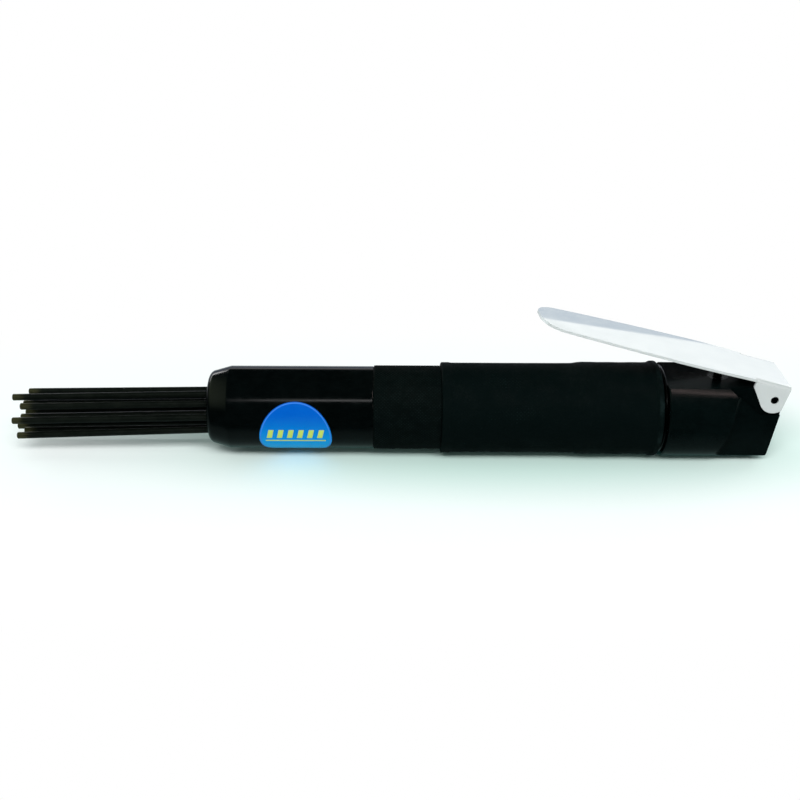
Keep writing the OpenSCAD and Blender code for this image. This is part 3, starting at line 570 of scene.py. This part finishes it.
NODE_FINISHES = {
    "barrel": KNURL_STEEL, "sleeve_ring": RING_WIRE, "lever_pin": DARK_STEEL, "valve_dowels": BRIGHT_STEEL,
    "anvil_bush": BRONZE, "pin_bush": DARK_STEEL, "valve_block": VALVE_STEEL, "valve_cap": VALVE_STEEL,
    "valve_disc": BRIGHT_STEEL, "inlet_screen": BRONZE, "throttle_pin": DARK_STEEL,
    "throttle_valve": BRONZE, "throttle_plug": DARK_STEEL, "needle_holder": VALVE_STEEL,
    "anvil": VALVE_STEEL, "piston": BRIGHT_STEEL, "barrel_seal": SEAL_RUBBER, "pin_seal": SEAL_RUBBER,
    "plug_seal": SEAL_RUBBER, "throttle_face": SEAL_RUBBER,
    **{f"needle_{count:02d}": NEEDLE_STEEL for count in range(1, 13)},
}

for node_name, node_finish in NODE_FINISHES.items():
    give_finish(NODES[node_name], node_finish)


# ---------------------------------------------------------------- front tube and label

def front_tube():
    """Turned tube: rounded nose, taper, soft crease, and the spigot inside the barrel."""
    columns, mouth_lip = 180, 0.35
    taper = math.radians(NOSE_TAPER)
    round_r = TUBE_R - ((NOSE_END - NOSE_ROUND) * math.sin(taper) + NOSE_ROUND) / math.cos(taper)
    first = math.degrees(math.asin((NOSE_OPEN_R + mouth_lip - round_r) / NOSE_ROUND))
    nose = arc(NOSE_ROUND, round_r, NOSE_ROUND, 180 - first, 90 + NOSE_TAPER, 14)
    mouth = [(BORE_START, NOSE_OPEN_R), (0.75, NOSE_OPEN_R), (0.45, NOSE_OPEN_R + 0.05),
             (nose[0][0] + 0.12, NOSE_OPEN_R + 0.18)]
    crease = [(NOSE_END - 0.5, TUBE_R - 0.5 * math.tan(taper)), (NOSE_END - 0.2, TUBE_R - 0.075),
              (NOSE_END + 0.1, TUBE_R - 0.012), (NOSE_END + 0.45, TUBE_R)]
    run = [(s, TUBE_R) for s in np.linspace(NOSE_END + 3, TUBE_END - 1.2, 12)]
    rear = [(TUBE_END - 0.4, TUBE_R), (TUBE_END - 0.15, TUBE_R - 0.08), (TUBE_END, TUBE_R - 0.35),
            (TUBE_END, SPIGOT_R), (SPIGOT_END - 0.5, SPIGOT_R), (SPIGOT_END, SPIGOT_R - 0.5),
            (SPIGOT_END, TUBE_BORE_R), (BORE_START, TUBE_BORE_R)]
    section = mouth + nose + crease + run + rear
    piece = turned_piece("front_tube_enamel", section, columns)
    edge = np.zeros((len(section), columns))
    first_crease, first_rear = len(mouth) + len(nose), len(section) - len(rear)
    for row, rows, rubbed in ((len(mouth), 3, 0.6), (first_crease + 1, 2, 0.45), (first_rear + 1, 2, 0.8)):
        edge[row:row + rows] = rubbed
    paint_points(piece, "edge", edge)
    return settle(piece, ENAMEL, "tool", "tube_black", "front_tube")


def label_film():
    """A thin oval film laid round the tube, with a soft edge."""
    full_rings, spokes = 23, 96
    turn = np.linspace(0, 2 * math.pi, spokes, endpoint=False)
    reach = np.append(np.linspace(0.02, 0.97, full_rings), [0.985, 0.995, 1.0])
    lift = np.append(np.full(full_rings, FILM_THICK), [0.19, 0.15, 0.06])
    along = reach[:, None] * np.cos(turn)
    across = reach[:, None] * np.sin(turn)
    radius = TUBE_R + FILM_GAP + lift[:, None] + 0 * along
    top = np.stack([along, across, radius], -1)
    under = np.stack([along[::-1], across[::-1], np.full_like(radius, TUBE_R + FILM_GAP)], -1)
    flat = np.concatenate([top, under])
    tilt = np.radians(-LABEL_DIP) + flat[..., 1] * LABEL_HALF_ARC / TUBE_R
    points = np.stack([axis_x(LABEL_PLACE + flat[..., 0] * LABEL_HALF_LEN), -flat[..., 2] * MM * np.cos(tilt),
                       AXIS_Z + flat[..., 2] * MM * np.sin(tilt)], -1)
    rows = len(points)
    index = np.arange(rows * spokes).reshape(rows, spokes)
    right, below = np.roll(index, -1, 1)[:-1], index[1:]
    faces = np.stack([index[:-1], below, np.roll(below, -1, 1), right], -1).reshape(-1, 4).tolist()
    faces += [index[0].tolist(), index[-1][::-1].tolist()]
    mesh = bpy.data.meshes.new("label_film")
    mesh.from_pydata(points.reshape(-1, 3).tolist(), [], faces)
    layer = mesh.uv_layers.new(name="label_map")
    spread = flat.reshape(-1, 3)[:, :2] * 0.5 + 0.5
    corners = np.zeros(len(mesh.loops), np.int32)
    mesh.loops.foreach_get("vertex_index", corners)
    layer.data.foreach_set("uv", spread[corners].astype(np.float32).ravel())
    shade_smooth(mesh, ROUND_CREASE)
    piece = piece_from_mesh("label_film", mesh)
    return settle(piece, LABEL_FILM, "tool", "label_film", "label")


# ---------------------------------------------------------------- knurled collar and sleeve

def saw(value):
    """A triangle wave: 0 at whole numbers and 1 between them."""
    return 1 - np.abs(2 * (value - np.floor(value)) - 1)


def diamond_relief(s, columns, around, pitch):
    """Height of a diamond pattern from 0 in its grooves to 1 on its crests."""
    turn = np.linspace(0, around, columns, endpoint=False)
    return np.minimum(saw(turn[None, :] + s[:, None] / pitch), saw(turn[None, :] - s[:, None] / pitch))


def knurled_collar():
    """The bare knurl in front of the sleeve, a band over the barrel's collar."""
    around, per_diamond, pitch, depth = 84, 6, 1.5, 0.24
    end_gap, blunt, fade, lift, sunk = 0.12, 1.25, 0.5, 0.012, 0.25
    columns = around * per_diamond
    s = np.linspace(TUBE_END + end_gap, SLEEVE_START - end_gap, 128)
    relief = np.minimum(diamond_relief(s, columns, around, pitch) * blunt, 1.0)
    ends = smooth_step(0, fade, np.minimum(s - s[0], s[-1] - s))[:, None]
    outer = COLLAR_R + lift + depth * relief * ends
    inner_s, inner_r = np.array([s[-1], s[0]]), np.full((2, columns), COLLAR_R - sunk)
    points = np.concatenate([round_points(s, outer, columns), round_points(inner_s, inner_r, columns)])
    piece = closed_grid("collar_knurl", points, KNURL_CREASE)
    paint_points(piece, "crest", np.concatenate([relief * ends, np.zeros((2, columns))]))
    return settle(piece, KNURL_STEEL, "tool", "barrel_steel")


def sleeve_outline(s):
    """Outer radius of the sleeve before its relief: rim, ramp and lip."""
    r = SLEEVE_FRONT_R + (SLEEVE_REAR_R - SLEEVE_FRONT_R) * smooth_step(RAMP_START, RAMP_END, s)
    r = r + RIM_HEIGHT * (1 - smooth_step(SLEEVE_START + 3.7, SLEEVE_START + RIM_LEN, s))
    r = r + LIP_HEIGHT * smooth_step(SLEEVE_END - LIP_LEN, SLEEVE_END - 2.2, s)
    near = np.clip(1 - (s - SLEEVE_START) / FRONT_ROUND, 0, 1)
    far = np.clip(1 - (SLEEVE_END - s) / BACK_ROUND, 0, 1)
    return r - FRONT_ROUND * (1 - np.sqrt(1 - near * near)) - BACK_ROUND * (1 - np.sqrt(1 - far * far))


def grip_sleeve():
    """Rubber sleeve: diamond relief over the barrel, wrinkles at the ramp, smooth and lipped at the rear."""
    around, per_diamond, pitch, depth = 80, 5, 1.6, 0.16
    wrinkle_width, wrinkle_depth, slack_depth, lip_dents = 5.5, 0.10, 0.07, 0.10
    columns, lip_rows = around * per_diamond, SLEEVE_END - 4.5
    s = np.concatenate([SLEEVE_START + FRONT_ROUND * (1 - np.cos(np.linspace(0, math.pi / 2, 6)))[:-1],
                        np.arange(SLEEVE_START + FRONT_ROUND, RAMP_START, 0.3),
                        np.arange(RAMP_START, lip_rows, 0.5),
                        np.linspace(lip_rows, SLEEVE_END - BACK_ROUND, 14)[:-1],
                        SLEEVE_END - BACK_ROUND * (1 - np.sin(np.linspace(0, math.pi / 2, 8)))])
    turn = np.linspace(0, 2 * math.pi, columns, endpoint=False)[None, :]
    place = s[:, None]
    textured = (smooth_step(SLEEVE_START + RIM_LEN, SLEEVE_START + 5.4, place)
                * (1 - smooth_step(RELIEF_END - 6, RELIEF_END + 3, place)))
    relief = diamond_relief(s, columns, around, pitch) ** 0.8
    worn = 0.78 + 0.22 * np.sin(3 * turn + place * 0.11) * np.sin(5 * turn - place * 0.07)
    radius = sleeve_outline(s)[:, None] - depth * (1 - relief * worn) * textured
    creased = np.exp(-((place - WRINKLE_PLACE) / wrinkle_width) ** 2)
    folds = np.sin(place * 1.9 + 1.3 * np.sin(2 * turn + 0.4) + 0.8 * np.sin(5 * turn + 1.1))
    radius = radius + wrinkle_depth * creased * folds * (0.55 + 0.45 * np.sin(3 * turn + 0.9))
    rear = smooth_step(RAMP_END, RAMP_END + 4, place) * (1 - smooth_step(SLEEVE_END - 6, SLEEVE_END - LIP_LEN, place))
    slack = np.sin(0.42 * place + 2.2 * np.sin(turn + 0.6)) * np.sin(3 * turn + 0.21 * place)
    radius = radius - slack_depth * rear * (1 + slack)
    lip = smooth_step(SLEEVE_END - LIP_LEN, SLEEVE_END - 2, place)
    radius = radius - lip_dents * lip * (1 + np.sin(4 * turn + 0.7) * np.sin(7 * turn))
    bore_s = np.array([SLEEVE_END, RAMP_END - 0.2, RAMP_START - 0.2, SLEEVE_START])
    bore_r = np.array([SLEEVE_REAR_BORE, SLEEVE_REAR_BORE, SLEEVE_FRONT_BORE, SLEEVE_FRONT_BORE])
    points = np.concatenate([round_points(s, radius, columns), round_points(bore_s, bore_r, columns)])
    points[..., 2] = np.maximum(points[..., 2], 0)
    piece = closed_grid("sleeve_rubber", points, RELIEF_CREASE)
    rim = 1 - smooth_step(SLEEVE_START + 3.4, SLEEVE_START + RIM_LEN, place)
    crest = relief * worn * textured + 0.4 * rim + 0.7 * lip
    paint_points(piece, "crest", np.concatenate([crest, np.zeros((4, columns))]))
    return settle(piece, RUBBER, "tool", "sleeve_rubber", "grip_sleeve")


# ---------------------------------------------------------------- head and lever

def eased_copy(node, width, wanted):
    """A copy of a CAD node with edges rounded by width mm; wanted picks the edges by their middle."""
    flat, corner, steps = math.radians(0.6), math.radians(24), 3
    work = bmesh.new()
    work.from_mesh(NODES[node].data)
    bmesh.ops.remove_doubles(work, verts=work.verts, dist=2e-6)
    bmesh.ops.dissolve_limit(work, angle_limit=flat, verts=work.verts, edges=work.edges)
    sharp = [edge for edge in work.edges
             if edge.is_manifold and edge.calc_face_angle(0) > corner
             and wanted((edge.verts[0].co + edge.verts[1].co) / 2)]
    bmesh.ops.bevel(work, geom=sharp, offset=width * MM, offset_type="OFFSET", segments=steps, profile=0.5,
                    affect="EDGES", clamp_overlap=True, loop_slide=True)
    bmesh.ops.remove_doubles(work, verts=work.verts, dist=1e-6)
    return work


def mesh_from_work(name, work):
    """A piece from an eased copy, with a value at each point that says how far it stands on an edge."""
    mesh = bpy.data.meshes.new(name)
    work.normal_update()
    work.verts.index_update()
    values = np.zeros(len(work.verts), np.float32)
    for edge in work.edges:
        if edge.is_manifold:
            bend = edge.calc_face_angle_signed(0)
            for vertex in edge.verts:
                values[vertex.index] = max(values[vertex.index], bend)
    work.to_mesh(mesh)
    work.free()
    shade_smooth(mesh, CAST_CREASE)
    piece = piece_from_mesh(name, mesh)
    least, spread = math.radians(9), math.radians(16)
    paint_points(piece, "edge", np.clip((values - least) / spread, 0, 1))
    weighted = piece.modifiers.new("flat_faces", "WEIGHTED_NORMAL")
    weighted.keep_sharp = True
    return piece


def throttle_head():
    """Head with eased outer edges; the edges of its skirt and of the bores inside it stay as they are."""
    low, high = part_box("throttle_body")
    front, rear = axis_x(DRUM_START - 0.3), high.x - 6 * MM
    core, skin = 9.2 * MM, 1.2 * MM

    def outside(place):
        if place.x < front:
            return False
        buried = abs(place.y) < core and low.z + skin < place.z < high.z - skin
        return not (buried and place.x < rear)

    piece = mesh_from_work("head_casting", eased_copy("throttle_body", 0.4, outside))
    return settle(piece, HEAD_PAINT, "tool", "head_black", "throttle_body")


def cut_across(work, place, normal):
    """Cuts every face that a plane meets, so that the sheet can bend there."""
    bmesh.ops.bisect_plane(work, geom=work.verts[:] + work.edges[:] + work.faces[:], plane_co=place, plane_no=normal)


def lever_plate():
    """Lever with rounded sheet edges; its blade swells a little, and its far side is eased down to the free end."""
    work = eased_copy("lever", 0.35, lambda place: True)
    pivot = Matrix.Translation((axis_x(PIVOT_PLACE), 0, AXIS_Z + PIVOT_HEIGHT * MM))
    to_tool = pivot @ Matrix.Rotation(math.radians(LEVER_ANGLE), 4, "Y")
    bmesh.ops.transform(work, matrix=to_tool.inverted(), verts=work.verts)
    half, reach, ears = LEVER_HALF * MM, LEVER_REACH * MM, EAR_FRONT * MM
    for across in np.linspace(-half * 0.9, half * 0.9, 31):
        cut_across(work, (0, across, 0), (0, 1, 0))
    for along in np.linspace(-reach + 3 * MM, -ears - 4 * MM, 26):
        cut_across(work, (along, 0, 0), (1, 0, 0))
    fold, fold_start, widest, soft = math.tan(math.radians(6.5)), 20 * MM, 0.80, 2.4 * MM
    swell, swell_start, swell_lean = 0.12, ears + 1 * MM, 0.85
    for vertex in work.verts:
        share = widest * min(max((-vertex.co.x - fold_start) / (reach - fold_start), 0), 1)
        past = max(vertex.co.y - half * (1 - 2 * share), 0)
        vertex.co.z -= fold * (past * past / (2 * soft) if past < soft else past - soft / 2)
        place = min(max((-vertex.co.x - swell_start) / (reach - swell_start), 0), 1)
        vertex.co.y *= 1 + swell * math.sin(math.pi * place ** swell_lean)
    bmesh.ops.transform(work, matrix=to_tool, verts=work.verts)
    piece = mesh_from_work("lever_plate", work)
    return settle(piece, PLATE, "lever", "lever_plate", "lever")


# ---------------------------------------------------------------- springs and inlet thread

def helix_wire(name, radius, angle, height, wire, to_scene):
    """A round wire along a helix about its own Z axis; to_scene places it."""
    sides = 12
    out = np.stack([np.cos(angle), np.sin(angle), 0 * angle], -1)
    centres = radius * out
    centres[:, 2] = height
    ring = np.linspace(0, 2 * math.pi, sides, endpoint=False)[None, :, None]
    tube = centres[:, None, :] + wire / 2 * (np.cos(ring) * out[:, None, :] + np.sin(ring) * np.array([0, 0, 1.0]))
    points = tube @ np.array(to_scene.to_3x3()).T + np.array(to_scene.translation)
    index = np.arange(len(angle) * sides).reshape(-1, sides)
    right = np.roll(index, -1, 1)
    faces = np.stack([index[:-1], right[:-1], right[1:], index[1:]], -1).reshape(-1, 4).tolist()
    faces += [index[0][::-1].tolist(), index[-1].tolist()]
    mesh = bpy.data.meshes.new(name)
    mesh.from_pydata(points.reshape(-1, 3).tolist(), [], faces)
    shade_smooth(mesh, ROUND_CREASE)
    return piece_from_mesh(name, mesh)


def wound_spring(name, node, axis, wire, turns):
    """A smooth coil in a CAD spring's place."""
    low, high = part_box(node)
    along = 0 if axis == "x" else 2
    centre = (low + high) / 2
    radius = (high.y - low.y - wire) / 2
    closed, per_turn = 0.9, 28
    swept = np.linspace(-closed, turns + closed, int((turns + 2 * closed) * per_turn))
    rise = np.clip(swept / turns, 0, 1)
    dead = np.minimum(swept, 0) + np.maximum(swept - turns, 0)
    inset = wire * (closed + 0.5)
    height = low[along] + inset + rise * (high[along] - low[along] - 2 * inset) + dead * wire
    turned = Matrix.Rotation(math.pi / 2, 4, "Y") if axis == "x" else Matrix.Identity(4)
    middle = centre.copy()
    middle[along] = 0
    piece = helix_wire(name, radius, swept * 2 * math.pi, height, wire, Matrix.Translation(middle) @ turned)
    settle(piece, SPRING_STEEL, "tool", "spring_steel", node)
    anchor = centre.copy()
    anchor[along] = low[along]
    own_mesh(piece)
    return piece


def inlet_thread():
    """Thread crests standing out of the inlet's wall."""
    side, out = Vector((0, 1, 0)), Vector(INLET_OUT)
    to_scene = Matrix((side, out.cross(side), out)).transposed().to_4x4()
    to_scene.translation = INLET_MOUTH
    turns, per_turn, pitch, start = 7.5, 48, 1.337 * MM, -12.2 * MM
    bore, wire, run_out = 5.9 * MM, 0.8 * MM, 0.4 * MM
    swept = np.linspace(0, turns, int(turns * per_turn))
    full = smooth_step(0, 0.35, np.minimum(swept, turns - swept))
    radius = bore + run_out * (1 - full)[:, None]
    piece = helix_wire("inlet_thread", radius, swept * 2 * math.pi, start + swept * pitch, wire, to_scene)
    return settle(piece, BRIGHT_STEEL, "tool", "bright_steel")


front_tube()
label_film()
knurled_collar()
grip_sleeve()
throttle_head()
lever_plate()
inlet_thread()
wound_spring("return_coil", "return_spring", "x", 2.0 * MM, 8.0)
wound_spring("throttle_coil", "throttle_spring", "z", 0.8 * MM, 3.0)


# ---------------------------------------------------------------- stage and light

def ray_kinds(tree):
    """Whether a ray comes from the camera, and whether it was reflected or let through."""
    path = add_node(tree, "ShaderNodeLightPath").outputs
    return path["Is Camera Ray"], maths(tree, "MAXIMUM", path["Is Glossy Ray"], path["Is Transmission Ray"])


def white_stage():
    """A pale floor that keeps the shadow and shows as white to the camera; close round the tool its own colour holds
    a painted teal shadow.
    """
    mesh = bpy.data.meshes.new("studio_floor")
    reach, drop = 4.0, -0.0002
    corners = [(x * reach, y * reach, drop) for x, y in ((-1, -1), (1, -1), (1, 1), (-1, 1))]
    mesh.from_pydata(corners, [], [(0, 1, 2, 3)])
    floor = piece_from_mesh("studio_floor", mesh)
    material, tree, inputs = finish_on("studio_floor", Roughness=0.9, Specular_IOR_Level=0.0)
    from_camera, reflected = ray_kinds(tree)
    spot = add_node(tree, "ShaderNodeNewGeometry").outputs["Position"]
    place = add_node(tree, "ShaderNodeSeparateXYZ")
    plug(tree, place.inputs[0], spot)
    sheet = span(tree, place.outputs["Y"], -0.055, -0.022)
    behind = span(tree, place.outputs["Y"], 0.020, 0.050)
    glow = add_node(tree, "ShaderNodeEmission")
    shown = blend_colour(tree, sheet, (0.010, 0.012, 0.013, 1), (0.04, 0.15, 0.14, 1))
    shown = blend_colour(tree, behind, shown, (0.58, 0.62, 0.64, 1))
    plug(tree, glow.inputs["Color"], blend_colour(tree, from_camera, shown, WHITE))
    narrowed = add_node(tree, "ShaderNodeVectorMath", operation="MULTIPLY_ADD")
    plug(tree, narrowed.inputs[0], spot)
    narrowed.inputs[1].default_value = (0.26, 1, 1)
    narrowed.inputs[2].default_value = (-0.014, 0, 0)
    away = add_node(tree, "ShaderNodeVectorMath", operation="LENGTH")
    plug(tree, away.inputs[0], narrowed.outputs[0])
    open_floor = span(tree, away.outputs["Value"], 0.030, 0.14)
    # Painted shadow: near the tool the floor's colour is a darker teal, fading to pale white further out.
    painted_shadow_fade = span(tree, away.outputs["Value"], 0.010, 0.062)
    plug(tree, inputs["Base Color"], blend_colour(tree, painted_shadow_fade, (0.66, 0.84, 0.78, 1), (0.95, 0.955, 0.955, 1)))
    in_view = maths(tree, "MULTIPLY", from_camera, open_floor)
    held = maths(tree, "MAXIMUM", span(tree, sheet, 0.0, 1.0, 1.0, 0.65), behind)
    in_gloss = maths(tree, "MULTIPLY", reflected, held)
    mixed = add_node(tree, "ShaderNodeMixShader")
    plug(tree, mixed.inputs[0], maths(tree, "MAXIMUM", in_view, in_gloss))
    plug(tree, mixed.inputs[1], tree.nodes["Principled BSDF"].outputs[0])
    plug(tree, mixed.inputs[2], glow.outputs[0])
    plug(tree, tree.nodes["Material Output"].inputs["Surface"], mixed.outputs[0])
    give_finish(floor, material)


def studio_world():
    """Reflections see a white wall behind the tool, a glow at its left and a dark room; the camera sees white."""
    world = bpy.data.worlds.new("studio_world")
    world.use_nodes = True
    SCENE.world = world
    tree = world.node_tree
    direction = add_node(tree, "ShaderNodeSeparateXYZ")
    plug(tree, direction.inputs[0], add_node(tree, "ShaderNodeTexCoord").outputs["Generated"])
    to_right, to_back, to_top = direction.outputs
    behind = maths(tree, "MULTIPLY_ADD", to_back, 0.97, maths(tree, "MULTIPLY", to_top, -0.242))
    backdrop = span(tree, behind, 0.35, 0.72)
    wall = blend_colour(tree, span(tree, to_top, 0.11, 0.18), (0.16, 0.22, 0.36, 1), (0.97, 0.98, 1.0, 1))
    shown = maths(tree, "MULTIPLY", backdrop, span(tree, to_top, 0.37, 0.31))
    room = blend_colour(tree, shown, (0.012, 0.014, 0.015, 1), wall)
    left = maths(tree, "MULTIPLY", span(tree, to_right, -0.42, -0.68), span(tree, to_top, 0.10, 0.70))
    room = blend_colour(tree, left, room, (1.15, 1.35, 0.95, 1))
    lit = span(tree, to_top, 0.0, 0.45)
    soft_light = blend_colour(tree, lit, (0.18, 0.27, 0.26, 1), (0.40, 0.51, 0.49, 1))
    from_camera, reflected = ray_kinds(tree)
    ambient = blend_colour(tree, reflected, soft_light, room)
    seen = blend_colour(tree, from_camera, ambient, WHITE)
    plug(tree, tree.nodes["Background"].inputs["Color"], seen)


def soft_lamp(name, place, aim, size, height, power, in_gloss, in_diffuse=True, colour=(1.0, 1.0, 1.0)):
    """A rectangular lamp that lights plain surfaces, reflections or both; sizes in metres, power in watts."""
    lamp = bpy.data.lights.new(name, "AREA")
    lamp.color = colour
    lamp.shape = "RECTANGLE"
    lamp.size, lamp.size_y, lamp.energy = size, height, power
    holder = bpy.data.objects.new(name, lamp)
    holder.location = place
    holder.rotation_euler = (Vector(aim) - Vector(place)).to_track_quat("-Z", "Y").to_euler()
    holder.visible_glossy = in_gloss
    holder.visible_diffuse = in_diffuse
    SCENE.collection.objects.link(holder)


white_stage()
studio_world()
TOOL_MIDDLE = (0.0, 0.0, AXIS_Z)
DRUM_MIDDLE = (0.14, 0.0, AXIS_Z)
soft_lamp("front_key", (0.0, -0.76, 0.93), TOOL_MIDDLE, 1.2, 0.36, 11.6, False)
soft_lamp("front_strip", (0.0625, -0.70, 0.745), TOOL_MIDDLE, 0.475, 0.08, 1.013, True)
soft_lamp("head_gleam", (0.425, -0.42, 0.885), DRUM_MIDDLE, 0.045, 0.36, 1.15, True, False, (1.0, 0.78, 0.75))
soft_lamp("front_strip_end", (-0.30, -0.70, 0.745), TOOL_MIDDLE, 0.30, 0.07, 0.06, True)
soft_lamp("rear_left_strip", (-0.65, 0.80, 0.38), TOOL_MIDDLE, 0.5, 0.10, 1.2, True)
soft_lamp("rear_right_strip", (0.90, 0.60, 0.35), TOOL_MIDDLE, 0.5, 0.10, 1.2, True)
SCENE.view_settings.view_transform = "Standard"
